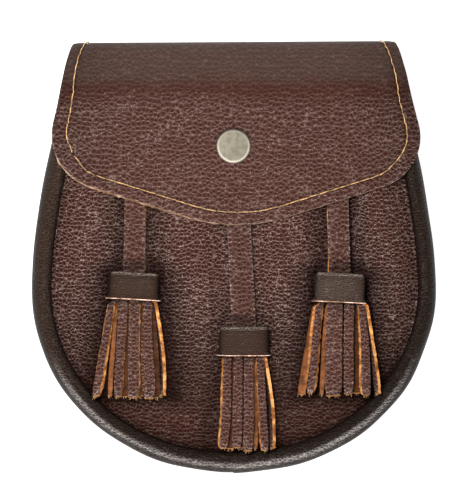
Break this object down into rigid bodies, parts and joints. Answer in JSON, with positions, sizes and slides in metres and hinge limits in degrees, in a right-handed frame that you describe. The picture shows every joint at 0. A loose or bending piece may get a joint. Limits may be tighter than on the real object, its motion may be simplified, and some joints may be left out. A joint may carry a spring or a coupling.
{
  "type": "sporran pouch",
  "caption": "D-shaped leather pouch with a rolled gusset, a fold-over flap closed by a snap, hanging fringed tassels in collars on straps, and belt loops on its back.",
  "frame": {"origin": "below the middle of the pouch, on the surface that it lies on with its front up", "axes": "+Z out of the front of the pouch, +Y up to the fold of the flap as worn, +X to the right seen from the front"},
  "size_m": [0.1778, 0.1892, 0.046],
  "materials": {
    "back_panel": "pebbled grain, satin",
    "gusset": "fine grain, semi-gloss",
    "front_panel": "pebbled grain, satin",
    "flap": "pebbled grain, satin, raw cut edge",
    "snap_cap": "satin nickel plate",
    "snap_stud": "satin nickel plate",
    "strap_left": "fine grain, satin",
    "strap_middle": "fine grain, satin",
    "strap_right": "fine grain, satin",
    "collar_left": "smooth, semi-gloss",
    "collar_middle": "smooth, semi-gloss",
    "collar_right": "smooth, semi-gloss",
    "tassel_left": "fine grain, with raw tan cut edges",
    "tassel_middle": "fine grain, with raw tan cut edges",
    "tassel_right": "fine grain, with raw tan cut edges",
    "belt_loop_left": "pebbled grain, satin",
    "belt_loop_right": "pebbled grain, satin"
  },
  "bodies": {
    "root": {"back_panel": "back_panel", "gusset": "gusset", "front_panel": "front_panel", "flap": "flap", "snap_cap": "snap_cap", "snap_stud": "snap_stud", "strap_left": "strap_left", "strap_middle": "strap_middle", "strap_right": "strap_right", "collar_left": "collar_left", "collar_middle": "collar_middle", "collar_right": "collar_right", "tassel_left": "tassel_left", "tassel_middle": "tassel_middle", "tassel_right": "tassel_right", "belt_loop_left": "belt_loop_left", "belt_loop_right": "belt_loop_right"}
  },
  "joints": []
}
